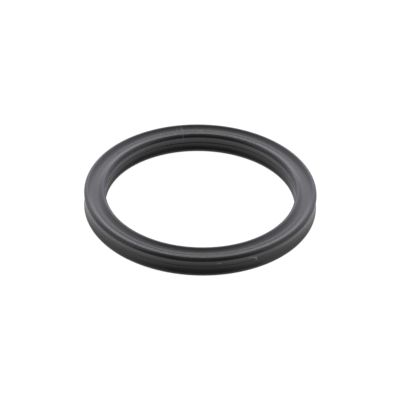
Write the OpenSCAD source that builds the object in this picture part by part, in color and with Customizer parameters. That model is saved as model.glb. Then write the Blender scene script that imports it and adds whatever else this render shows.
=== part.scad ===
// Quad ring: a one-piece moulded rubber seal. Its square section has a round sealing lobe at each
// corner and a shallow hollow in each side, and turns about the ring's axis.
// Millimetres. The axis is Z, and the origin is the ring's centre at the middle of its height.

/* [Ring] */
// Inside diameter, measured across the crests of the inner lobes
inside_d = 46.99; // [20:0.01:120]
// Side of the square that the section fits in
section_w = 5.33; // [4:0.01:8]

/* [Section] */
// Radius of each sealing lobe
lobe_r = 0.74; // [0.5:0.01:0.95]
// Depth of the hollow between two lobes
hollow_d = 0.4; // [0.2:0.01:0.6]

/* [Parting line] */
// Radius of the bead that the joint between the mould halves leaves
bead_r = 0.16; // [0.08:0.01:0.2]
// Height of that bead above the bottom of the inner hollow
inner_bead_h = 0.11; // [0.02:0.01:0.12]
// Height of the bead above the bottom of the outer hollow, where it shows less
outer_bead_h = 0.04; // [0.02:0.01:0.12]

/* [Hidden] */
RUBBER = [0.13, 0.13, 0.14];
$fn = 180;

// Distance from the ring's axis to the middle of the section
ring_r = (inside_d + section_w) / 2;
// Distance of each lobe's centre from the middle of the section, along both sides
lobe_at = section_w / 2 - lobe_r;
// How deep the hollow's arc bites into the lobes that it runs on to, so that the arcs always meet
blend = 0.0002;
// The hollow's arc passes through the bottom of the hollow and runs on to both lobes
hollow_r = (lobe_at ^ 2 + hollow_d ^ 2) / (2 * hollow_d) - lobe_r + blend;
// Distance of that arc's centre from the middle of the section
hollow_at = section_w / 2 - hollow_d + hollow_r;
// Turn, seen from a lobe's centre, of the line to the centre of the hollow's arc
blend_turn = atan2(lobe_at, hollow_at - lobe_at);
// Place of the point where a lobe meets the hollow beside it: across the side, and along it
meet_across = lobe_at + lobe_r * cos(blend_turn);
meet_along = lobe_at - lobe_r * sin(blend_turn);

// Distance of a bead's centre from the middle of the section
function bead_at(height) = section_w / 2 - hollow_d + height - bead_r;

// Repeats its child on the four sides of the section
module on_each_side() {
    for (turn = [0:90:270]) rotate(turn) children();
}

// The section before its hollows are cut: the lobes, and the core that joins them
module lobes_and_core() {
    on_each_side() translate([lobe_at, lobe_at]) circle(lobe_r);
    polygon([
        for (turn = [0:90:270], side = [-1, 1])
            [meet_across * cos(turn) - side * meet_along * sin(turn),
             meet_across * sin(turn) + side * meet_along * cos(turn)]
    ]);
}

// The whole section, about its own middle: x points away from the ring's axis, y along it
module section() {
    difference() {
        lobes_and_core();
        on_each_side() translate([hollow_at, 0]) circle(hollow_r);
    }
    // Parting line: one bead in the outer hollow and one in the inner
    translate([bead_at(outer_bead_h), 0]) circle(bead_r);
    translate([-bead_at(inner_bead_h), 0]) circle(bead_r);
}

module quad_ring() {
    color(RUBBER) rotate_extrude() translate([ring_r, 0]) section();
}

quad_ring();
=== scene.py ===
"""Quad ring: a fine mesh of the moulded rubber ring, its satin finish with a few rub marks, and its studio.

Sizes are in metres unless their names say otherwise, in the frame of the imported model: the ring's axis is Z,
and its centre is the origin.
"""

from __future__ import annotations

import logging
import math
from dataclasses import dataclass, field
from enum import Enum
from typing import Optional, Union

import bmesh
import bpy
from mathutils import Matrix, Vector

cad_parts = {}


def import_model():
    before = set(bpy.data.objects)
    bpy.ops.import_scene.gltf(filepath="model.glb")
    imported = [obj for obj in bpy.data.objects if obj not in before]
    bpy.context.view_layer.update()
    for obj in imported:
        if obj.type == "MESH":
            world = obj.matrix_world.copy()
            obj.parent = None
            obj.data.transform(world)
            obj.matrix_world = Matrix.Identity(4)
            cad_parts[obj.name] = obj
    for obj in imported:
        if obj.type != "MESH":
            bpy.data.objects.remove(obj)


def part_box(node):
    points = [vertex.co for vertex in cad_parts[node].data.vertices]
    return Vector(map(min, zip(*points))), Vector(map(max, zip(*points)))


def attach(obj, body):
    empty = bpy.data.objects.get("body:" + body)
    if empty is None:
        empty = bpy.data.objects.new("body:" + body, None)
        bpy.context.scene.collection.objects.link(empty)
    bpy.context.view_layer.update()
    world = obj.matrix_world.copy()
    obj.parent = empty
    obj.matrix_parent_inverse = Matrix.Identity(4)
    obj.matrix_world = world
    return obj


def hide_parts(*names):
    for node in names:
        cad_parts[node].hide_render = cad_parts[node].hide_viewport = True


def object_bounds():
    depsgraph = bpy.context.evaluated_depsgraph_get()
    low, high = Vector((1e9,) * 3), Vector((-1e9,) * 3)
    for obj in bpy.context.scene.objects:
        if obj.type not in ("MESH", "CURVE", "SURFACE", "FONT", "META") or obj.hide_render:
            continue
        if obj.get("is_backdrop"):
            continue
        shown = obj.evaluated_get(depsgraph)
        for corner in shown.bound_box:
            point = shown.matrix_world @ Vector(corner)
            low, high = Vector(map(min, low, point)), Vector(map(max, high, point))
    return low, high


LOG = logging.getLogger("quad_ring")
MM = 0.001
PICTURE_SIDE_PX = 400
# Places of the Mix node's colour sockets, which share their names with its number sockets
MIX_LOW, MIX_HIGH, MIX_RESULT = 6, 7, 2
Colour = tuple[float, float, float, float]
Point = tuple[float, float]


class Number:
    """A number that a shader node gives out, with the arithmetic that the finishes write."""

    def __init__(self, graph: "Graph", socket: Optional[bpy.types.NodeSocket]) -> None:
        """Wraps a socket.

        Args:
            graph: The graph that the socket belongs to.
            socket: The output socket that holds the number, or nothing where a node ends the tree.
        """
        self.graph = graph
        self.socket = socket

    def _math(self, operation: str, first: "Term", second: "Term" = 0.0) -> "Number":
        """Adds one Math node.

        Args:
            operation: The node's operation.
            first: The first operand.
            second: The second operand, where the operation has one.

        Returns:
            The node's result.
        """
        return self.graph.node("ShaderNodeMath", {"operation": operation}, {0: first, 1: second})

    def __add__(self, other: "Term") -> "Number":
        """The sum."""
        return self._math("ADD", self, other)

    __radd__ = __add__

    def __sub__(self, other: "Term") -> "Number":
        """The difference."""
        return self._math("SUBTRACT", self, other)

    def __rsub__(self, other: "Term") -> "Number":
        """The difference, with this number taken away."""
        return self._math("SUBTRACT", other, self)

    def __mul__(self, other: "Term") -> "Number":
        """The product."""
        return self._math("MULTIPLY", self, other)

    __rmul__ = __mul__

    def __truediv__(self, other: "Term") -> "Number":
        """The quotient."""
        return self._math("DIVIDE", self, other)

    def squared(self) -> "Number":
        """The number times itself."""
        return self * self

    def root(self) -> "Number":
        """The square root."""
        return self._math("SQRT", self)

    def size(self) -> "Number":
        """The number without its sign."""
        return self._math("ABSOLUTE", self)

    def angle_from(self, other: "Term") -> "Number":
        """The angle, in degrees, whose sine goes with this number and whose cosine goes with the other."""
        return self._math("ARCTAN2", self, other) * math.degrees(1)

    def rises(self, low: float, high: float) -> "Number":
        """A smooth step from 0 to 1.

        Args:
            low: Where the step starts.
            high: Where it has reached 1.

        Returns:
            The step's value.
        """
        settings = {"interpolation_type": "SMOOTHSTEP"}
        inputs = {"Value": self, "From Min": low, "From Max": high}
        return self.graph.node("ShaderNodeMapRange", settings, inputs)

    def between(self, low: float, high: float, softness: float) -> "Number":
        """A soft window, 1 between two values and 0 outside them.

        Args:
            low: The lower value.
            high: The higher value.
            softness: How far each edge reaches to both sides.

        Returns:
            The window's value.
        """
        return self.rises(low - softness, low + softness) - self.rises(high - softness, high + softness)


Term = Union[Number, float]


class Graph:
    """The node tree of one material or world."""

    def __init__(self, tree: bpy.types.NodeTree) -> None:
        """Empties the tree.

        Args:
            tree: The node tree to build in.
        """
        self.tree = tree
        tree.nodes.clear()

    def node(self, kind: str, settings: dict, inputs: dict, output: Union[int, str] = 0) -> Number:
        """Adds a node of any type.

        Args:
            kind: The node's type.
            settings: Its properties, which are set first.
            inputs: Values or links for its input sockets, by name or index.
            output: The output socket to hand back.

        Returns:
            The chosen output, or the node's first one.
        """
        made = self.tree.nodes.new(kind)
        for name, value in settings.items():
            setattr(made, name, value)
        for key, value in inputs.items():
            if isinstance(value, Number):
                self.tree.links.new(value.socket, made.inputs[key])
            else:
                made.inputs[key].default_value = value
        return Number(self, made.outputs[output] if made.outputs else None)

    def axes(self, vector: Number) -> tuple[Number, Number, Number]:
        """Splits a vector.

        Args:
            vector: The vector's socket.

        Returns:
            Its x, y and z.
        """
        parts = self.node("ShaderNodeSeparateXYZ", {}, {0: vector}).socket.node
        return tuple(Number(self, socket) for socket in parts.outputs)

    def vector(self, x: Term, y: Term, z: Term) -> Number:
        """A vector made of three numbers."""
        return self.node("ShaderNodeCombineXYZ", {}, {0: x, 1: y, 2: z})

    def noise(self, place: Number, pitch: float, detail: float) -> Number:
        """Noise over a place, with patches about as wide as the pitch."""
        return self.node("ShaderNodeTexNoise", {}, {"Vector": place, "Scale": 1 / pitch, "Detail": detail})

    def mix(self, mask: Term, low: Union[Number, Colour], high: Union[Number, Colour]) -> Number:
        """Mixes two colours.

        Args:
            mask: How much of the second colour shows, from 0 to 1.
            low: The colour at 0.
            high: The colour at 1.

        Returns:
            The mixed colour.
        """
        inputs = {0: mask, MIX_LOW: low, MIX_HIGH: high}
        return self.node("ShaderNodeMix", {"data_type": "RGBA"}, inputs, MIX_RESULT)


def link_mesh(name: str, mesh: bmesh.types.BMesh) -> bpy.types.Object:
    """Turns a bmesh into an object of the scene.

    Args:
        name: The object's name.
        mesh: The bmesh, which is freed.

    Returns:
        The object.
    """
    data = bpy.data.meshes.new(name)
    mesh.to_mesh(data)
    mesh.free()
    made = bpy.data.objects.new(name, data)
    bpy.context.scene.collection.objects.link(made)
    return made


class Side(Enum):
    """The ring's marked sides, each as the distances from the ring's axis between which its marks lie."""

    OUTER_WALL = (27.5 * MM, 29.5 * MM)
    INNER_WALL = (0.0, 24.2 * MM)
    TOP = (26.0 * MM, 27.6 * MM)


@dataclass(frozen=True)
class Scuff:
    """A small pale rub mark on the rubber.

    Its turns are in degrees to the right of the ring's front, and its heights are from the middle plane.
    """

    side: Side
    turns: Point
    heights: Point
    strength: float
    turn_softness: float = 0.35
    softness: float = 0.08 * MM

    def mask(self, turn: Number, height: Number, out: Number) -> Number:
        """Says where the mark is.

        Args:
            turn: The turn of each place on the ring.
            height: Its height.
            out: Its distance from the ring's axis.

        Returns:
            How much of the mark shows, from 0 to its strength.
        """
        spot = turn.between(*self.turns, self.turn_softness) * height.between(*self.heights, self.softness)
        return spot * out.between(*self.side.value, self.softness) * self.strength


@dataclass(frozen=True)
class Rubber:
    """Black nitrile rubber as it leaves a machined mould: satin, with fine lines that run round the ring.

    A thin grey bloom lies on it in clouds and along some of the lines, and makes it a little duller there.
    """

    name: str = "black_rubber"
    slot: str = "rubber"
    black: Colour = (0.010, 0.010, 0.0105, 1.0)
    bloom: Colour = (0.017, 0.017, 0.0175, 1.0)
    rubbed: Colour = (0.25, 0.25, 0.25, 1.0)
    bare_roughness: float = 0.22
    bloom_roughness: float = 0.28
    index: float = 1.5
    line_pitch: float = 0.16 * MM
    line_depth: float = 0.0008 * MM
    line_range: Point = (0.45, 0.80)
    grain_pitch: float = 0.05 * MM
    grain_depth: float = 0.0003 * MM
    fine_detail: float = 2.0
    cloud_pitch: float = 9.0 * MM
    cloud_range: Point = (0.35, 0.75)
    cloud_detail: float = 3.0
    cloud_share: float = 0.7
    scuffs: tuple[Scuff, ...] = (
        # A speck and a hook on the outer wall, to the right of the front
        Scuff(Side.OUTER_WALL, (9.0, 11.0), (0.90 * MM, 1.12 * MM), 0.75),
        Scuff(Side.OUTER_WALL, (24.6, 27.2), (0.95 * MM, 1.40 * MM), 0.28),
        Scuff(Side.OUTER_WALL, (27.3, 29.2), (0.62 * MM, 0.95 * MM), 0.95),
        Scuff(Side.OUTER_WALL, (28.9, 29.6), (-0.15 * MM, 0.66 * MM), 0.85),
        # Faint streaks across the inner wall and the top, to the left of the back
        Scuff(Side.INNER_WALL, (-164.9, -164.3), (0.30 * MM, 1.90 * MM), 0.10),
        Scuff(Side.INNER_WALL, (-166.5, -165.9), (0.20 * MM, 2.00 * MM), 0.12),
        Scuff(Side.INNER_WALL, (-168.8, -168.0), (0.10 * MM, 2.80 * MM), 0.19),
        Scuff(Side.TOP, (-169.7, -168.3), (1.50 * MM, 2.80 * MM), 0.20),
        Scuff(Side.TOP, (-167.0, -165.9), (1.50 * MM, 2.80 * MM), 0.12),
    )

    def wear(self, turn: Number, height: Number, out: Number) -> Number:
        """Adds up the rub marks.

        Args:
            turn: The turn of each place on the ring, in degrees to the right of its front.
            height: Its height.
            out: Its distance from the ring's axis.

        Returns:
            How much the rubber is rubbed, 0 where it has no mark.
        """
        return sum((scuff.mask(turn, height, out) for scuff in self.scuffs), 0.0)

    def material(self) -> bpy.types.Material:
        """Builds the material.

        Returns:
            The material, named for the finish.
        """
        made = bpy.data.materials.new(self.name)
        made.use_nodes = True
        graph = Graph(made.node_tree)
        place = graph.node("ShaderNodeTexCoord", {}, {}, "Object")
        x, y, z = graph.axes(place)
        out = (x.squared() + y.squared()).root()

        # Noise that changes fast across the section and slowly along the ring draws lines round it
        across = graph.vector(out / self.line_pitch, z / self.line_pitch, x / self.cloud_pitch)
        lines = graph.node(
            "ShaderNodeTexNoise", {"noise_dimensions": "4D"},
            {"Vector": across, "W": y / self.cloud_pitch, "Scale": 1.0, "Detail": self.fine_detail},
        )
        grain = graph.noise(place, self.grain_pitch, self.fine_detail)
        cloud = graph.noise(place, self.cloud_pitch, self.cloud_detail)

        height = lines * self.line_depth + grain * self.grain_depth
        bump = graph.node("ShaderNodeBump", {}, {"Height": height, "Strength": 1.0, "Distance": 1.0})
        clouded = cloud.rises(*self.cloud_range) * self.cloud_share
        haze = clouded + lines.rises(*self.line_range) * (1 - self.cloud_share)
        worn = self.wear(x.angle_from(0.0 - y), z, out)
        colour = graph.mix(worn, graph.mix(haze, self.black, self.bloom), self.rubbed)
        rough = haze * (self.bloom_roughness - self.bare_roughness) + self.bare_roughness
        shader = graph.node(
            "ShaderNodeBsdfPrincipled", {},
            {"Base Color": colour, "Roughness": rough, "IOR": self.index, "Normal": bump},
        )
        graph.node("ShaderNodeOutputMaterial", {}, {"Surface": shader})
        return made


@dataclass(frozen=True)
class Arc:
    """Part of a circle in the section, with its start and end in radians."""

    centre: Point
    radius: float
    start: float
    end: float
    steps: int

    def points(self) -> list[Point]:
        """Divides the arc into equal steps.

        Returns:
            Its points, without the last one, which the next arc starts from.
        """
        x, y = self.centre
        turns = (self.start + (self.end - self.start) * step / self.steps for step in range(self.steps))
        return [(x + self.radius * math.cos(turn), y + self.radius * math.sin(turn)) for turn in turns]


@dataclass
class QuadRing:
    """The ring: a section of four round lobes and four shallow hollows, turned about Z.

    A low bead runs round the inner and the outer hollow, where the two halves of the mould parted.
    """

    node: str = "quad_ring"
    lobe_radius: float = 0.74 * MM
    hollow_depth: float = 0.40 * MM
    bead_radius: float = 0.16 * MM
    inner_bead: float = 0.11 * MM
    outer_bead: float = 0.04 * MM
    steps_round: int = 480
    lobe_steps: int = 16
    hollow_steps: int = 12
    bead_steps: int = 12
    finish: Rubber = Rubber()
    half: float = field(init=False)
    middle_radius: float = field(init=False)

    def __post_init__(self) -> None:
        """Reads half the section's side, and the radius of the section's middle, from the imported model."""
        low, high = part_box(self.node)
        self.half = (high.z - low.z) / 2
        self.middle_radius = high.x - self.half

    @property
    def lobe_at(self) -> float:
        """How far a lobe's centre is from the middle of the section, along both sides."""
        return self.half - self.lobe_radius

    @property
    def hollow_radius(self) -> float:
        """The radius of the arc that passes through the bottom of a hollow and runs on to both lobes."""
        reach = (self.lobe_at**2 + self.hollow_depth**2) / (2 * self.hollow_depth)
        return reach - self.lobe_radius

    @property
    def hollow_at(self) -> float:
        """How far the centre of that arc is from the middle of the section."""
        return self.half - self.hollow_depth + self.hollow_radius

    @property
    def tilt(self) -> float:
        """The turn, seen from a lobe's centre, of the line to the centre of the arc beside it."""
        return math.atan2(self.lobe_at, self.hollow_at - self.lobe_at)

    def side_arcs(self, bead_height: float) -> list[Arc]:
        """The arcs of one side, from its first lobe on, with the side's middle on the x axis.

        Args:
            bead_height: How high the mould's bead stands in the hollow, or 0 where there is none.

        Returns:
            The arcs in order, the last of them the lobe.
        """
        covered = 0.0
        bead = []
        if bead_height:
            bead_at = self.half - self.hollow_depth + bead_height - self.bead_radius
            gap = self.hollow_at - bead_at
            foot = (gap**2 + self.bead_radius**2 - self.hollow_radius**2) / (2 * gap)
            rise = math.sqrt(self.bead_radius**2 - foot**2)
            turn = math.atan2(rise, foot)
            covered = math.atan2(rise, gap - foot)
            bead = [Arc((bead_at, 0.0), self.bead_radius, -turn, turn, self.bead_steps)]
        centre = (self.hollow_at, 0.0)
        corner = (self.lobe_at, self.lobe_at)
        return [
            Arc(centre, self.hollow_radius, math.pi + self.tilt, math.pi + covered, self.hollow_steps),
            *bead,
            Arc(centre, self.hollow_radius, math.pi - covered, math.pi - self.tilt, self.hollow_steps),
            Arc(corner, self.lobe_radius, -self.tilt, math.pi / 2 + self.tilt, self.lobe_steps),
        ]

    def section(self) -> list[Point]:
        """The section's outline about its own middle, anticlockwise, with x away from the ring's axis.

        Returns:
            The outline's points.
        """
        outline = []
        quarter_turns = ((1, 0), (0, 1), (-1, 0), (0, -1))
        bead_heights = (self.outer_bead, 0.0, self.inner_bead, 0.0)
        for (cosine, sine), bead_height in zip(quarter_turns, bead_heights):
            for arc in self.side_arcs(bead_height):
                outline += [(x * cosine - y * sine, x * sine + y * cosine) for x, y in arc.points()]
        return outline

    def build(self) -> bpy.types.Object:
        """Turns the section about Z.

        Returns:
            The ring's object, with no material yet.
        """
        outline = [(self.middle_radius + x, y) for x, y in self.section()]
        mesh = bmesh.new()
        rings = []
        for step in range(self.steps_round):
            turn = 2 * math.pi * step / self.steps_round
            cosine, sine = math.cos(turn), math.sin(turn)
            rings.append([mesh.verts.new((radius * cosine, radius * sine, up)) for radius, up in outline])
        for step, ring in enumerate(rings):
            following = rings[(step + 1) % self.steps_round]
            for here in range(len(outline)):
                after = (here + 1) % len(outline)
                face = mesh.faces.new((ring[here], following[here], following[after], ring[after]))
                face.smooth = True
        return link_mesh("moulded_ring", mesh)

    def dress(self, piece: bpy.types.Object) -> None:
        """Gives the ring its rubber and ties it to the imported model.

        Args:
            piece: The ring's object.
        """
        piece.data.materials.append(self.finish.material())
        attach(piece, "root")
        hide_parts(self.node)

    def make(self) -> bpy.types.Object:
        """Builds and dresses the ring.

        Returns:
            The finished piece.
        """
        piece = self.build()
        self.dress(piece)
        return piece


@dataclass
class Camera:
    """The photograph's viewpoint: a long lens, far off and above the front of the ring.

    It stands a little aside, which moves the ring right and up in the picture by the last two fields.
    """

    elevation: float = math.radians(35.93)
    roll: float = math.radians(1.31)
    distance: float = 0.7913
    nearest: float = 0.01
    farthest: float = 50.0
    sensor_mm: float = 36.0
    lens_mm: float = 286.9
    right_px: float = 0.25
    up_px: float = 2.05

    def make(self) -> None:
        """Places the camera and makes it the scene's own."""
        back = Vector((0.0, -math.cos(self.elevation), math.sin(self.elevation)))
        turn = back.to_track_quat("Z", "Y").to_matrix() @ Matrix.Rotation(self.roll, 3, "Z")
        pixel = self.sensor_mm / self.lens_mm * self.distance / PICTURE_SIDE_PX
        aside = turn @ Vector((-self.right_px * pixel, -self.up_px * pixel, 0.0))
        data = bpy.data.cameras.new("camera")
        data.lens = self.lens_mm
        data.sensor_width = self.sensor_mm
        data.clip_start = self.nearest
        data.clip_end = self.farthest
        made = bpy.data.objects.new("camera", data)
        made.matrix_world = Matrix.Translation(back * self.distance + aside) @ turn.to_4x4()
        bpy.context.scene.collection.objects.link(made)
        bpy.context.scene.camera = made


class Tint(Enum):
    """The colours of the studio's light."""

    WHITE = (1.0, 1.0, 1.0, 1.0)
    PALE = (1.0, 1.0, 1.05, 1.0)
    LILAC = (1.0, 0.99, 1.14, 1.0)


@dataclass(frozen=True)
class Panel:
    """A soft panel of light far round the ring, the same on its left and right.

    Its turns are counted from straight behind the ring and its rises from the floor, both in degrees.
    """

    turns: Point
    rises: Point
    radiance: float
    tint: Tint = Tint.WHITE
    softness: float = 3.0

    def glow(self, graph: Graph, turn: Number, rise: Number) -> Number:
        """Adds the panel to a world.

        Args:
            graph: The world's graph.
            turn: The turn of each direction.
            rise: The rise of each direction.

        Returns:
            The panel's light.
        """
        window = turn.between(*self.turns, self.softness) * rise.between(*self.rises, self.softness)
        inputs = {"Color": self.tint.value, "Strength": window * self.radiance}
        return graph.node("ShaderNodeBackground", {}, inputs)


@dataclass
class Studio:
    """A white floor in a white room, with light panels behind and beside the ring and little light in front.

    The camera sees mostly the floor's own glow, and a share of its paint, which keeps the ring's shadow.
    What the ring mirrors is a floor with a painted shadow: its glow is dimmer inside the ring and in front of
    it.
    """

    floor_side: float = 12.0
    white_paint: Colour = (0.85, 0.85, 0.85, 1.0)
    seen_share: float = 0.88
    seen_glow: float = 1.12
    open_glow: float = 0.84
    # The floor's glow as the ring mirrors it, and where a painted shadow dims it inside the ring and in front
    # of it
    shade_glow: float = 0.16
    shade_middle: Point = (-2.0 * MM, -4.0 * MM)
    shade_edge: Point = (18.0 * MM, 24.0 * MM)
    front_shade_edge: Point = (27.0 * MM, 38.0 * MM)
    panels: tuple[Panel, ...] = (
        # The room, and a lighter band high up all round it
        Panel((-180.0, 180.0), (-10.0, 100.0), 0.18),
        Panel((-180.0, 180.0), (60.0, 80.0), 0.40),
        # Behind the ring: a low wall of light, then a dim gap between brighter panels, and light above them
        Panel((-20.0, 20.0), (-10.0, 16.0), 1.65, Tint.PALE),
        Panel((-6.0, 6.0), (16.0, 31.0), 0.30),
        Panel((6.0, 10.0), (16.0, 30.0), 1.35, Tint.PALE),
        Panel((10.0, 20.0), (16.0, 40.0), 2.4, Tint.LILAC),
        Panel((-10.0, 10.0), (31.0, 40.0), 3.2, Tint.PALE),
        Panel((-20.0, 20.0), (40.0, 60.0), 1.12, Tint.PALE),
        # Beside it
        Panel((20.0, 67.0), (-10.0, 40.0), 1.42, Tint.LILAC),
        Panel((20.0, 67.0), (40.0, 60.0), 1.12, Tint.LILAC),
        Panel((67.0, 90.0), (-10.0, 60.0), 0.78, Tint.LILAC),
        # In front of it, to the left and right
        Panel((90.0, 120.0), (-10.0, 16.0), 1.60, Tint.PALE),
        Panel((90.0, 120.0), (32.0, 60.0), 1.05, Tint.LILAC),
        Panel((120.0, 150.0), (-10.0, 16.0), 0.30),
    )

    def paint(self) -> bpy.types.Material:
        """Builds the floor's material, which is white to the camera and isn't there from below.

        Returns:
            The material.
        """
        made = bpy.data.materials.new("floor_white")
        made.use_nodes = True
        graph = Graph(made.node_tree)
        x, y, _ = graph.axes(graph.node("ShaderNodeTexCoord", {}, {}, "Object"))
        out = ((x - self.shade_middle[0]).squared() + (y - self.shade_middle[1]).squared()).root()
        # Painted shadow: the glow that the ring mirrors is dimmed inside the ring and in front of it, where
        # the ring's shade falls
        open_floor = out.rises(*self.shade_edge) * (1.0 - (0.0 - y).rises(*self.front_shade_edge))
        mirrored = open_floor * (self.open_glow - self.shade_glow) + self.shade_glow
        camera, glossy, through = (
            graph.node("ShaderNodeLightPath", {}, {}, f"Is {kind} Ray")
            for kind in ("Camera", "Glossy", "Transmission")
        )
        share = camera * self.seen_share + glossy + through
        strength = camera * self.seen_glow + (1.0 - camera) * mirrored
        matt = graph.node("ShaderNodeBsdfDiffuse", {}, {"Color": self.white_paint})
        glow = graph.node("ShaderNodeEmission", {}, {"Color": Tint.WHITE.value, "Strength": strength})
        lit = graph.node("ShaderNodeMixShader", {}, {0: share, 1: matt, 2: glow})
        clear = graph.node("ShaderNodeBsdfTransparent", {}, {})
        below = graph.node("ShaderNodeNewGeometry", {}, {}, "Backfacing")
        shown = graph.node("ShaderNodeMixShader", {}, {0: below, 1: lit, 2: clear})
        graph.node("ShaderNodeOutputMaterial", {}, {"Surface": shown})
        return made

    def floor(self, height: float) -> None:
        """Lays the floor.

        Args:
            height: The height of its surface.
        """
        half = self.floor_side / 2
        mesh = bmesh.new()
        corners = ((-1, -1), (1, -1), (1, 1), (-1, 1))
        mesh.faces.new([mesh.verts.new((x * half, y * half, height)) for x, y in corners])
        made = link_mesh("floor", mesh)
        made.data.materials.append(self.paint())
        made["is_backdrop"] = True

    def surround(self) -> None:
        """Puts the panels in the world, which is plain white where the camera sees it."""
        world = bpy.data.worlds.new("surround")
        world.use_nodes = True
        bpy.context.scene.world = world
        graph = Graph(world.node_tree)
        x, y, z = graph.axes(graph.node("ShaderNodeTexCoord", {}, {}, "Generated"))
        turn = x.angle_from(y).size()
        rise = z.angle_from((x.squared() + y.squared()).root())
        light = graph.node("ShaderNodeBackground", {}, {"Strength": 0.0})
        for panel in self.panels:
            light = graph.node("ShaderNodeAddShader", {}, {0: light, 1: panel.glow(graph, turn, rise)})
        backdrop = graph.node("ShaderNodeBackground", {}, {"Color": Tint.WHITE.value, "Strength": 1.0})
        camera = graph.node("ShaderNodeLightPath", {}, {}, "Is Camera Ray")
        shown = graph.node("ShaderNodeMixShader", {}, {0: camera, 1: light, 2: backdrop})
        graph.node("ShaderNodeOutputWorld", {}, {"Surface": shown})

    def make(self, floor_height: float) -> None:
        """Builds the whole studio.

        Args:
            floor_height: The height of the surface that the ring lies on.
        """
        self.floor(floor_height)
        self.surround()
        bpy.context.scene.view_settings.view_transform = "Standard"


def main() -> None:
    """Builds the ring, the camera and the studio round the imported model, and reports the ring."""
    logging.basicConfig(level=logging.INFO, format="%(name)s: %(message)s")
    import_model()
    cad_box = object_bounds()
    ring = QuadRing().make()
    LOG.info("%s: %d faces", ring.name, len(ring.data.polygons))
    Camera().make()
    Studio().make(cad_box[0].z)


if __name__ == "__main__":
    main()
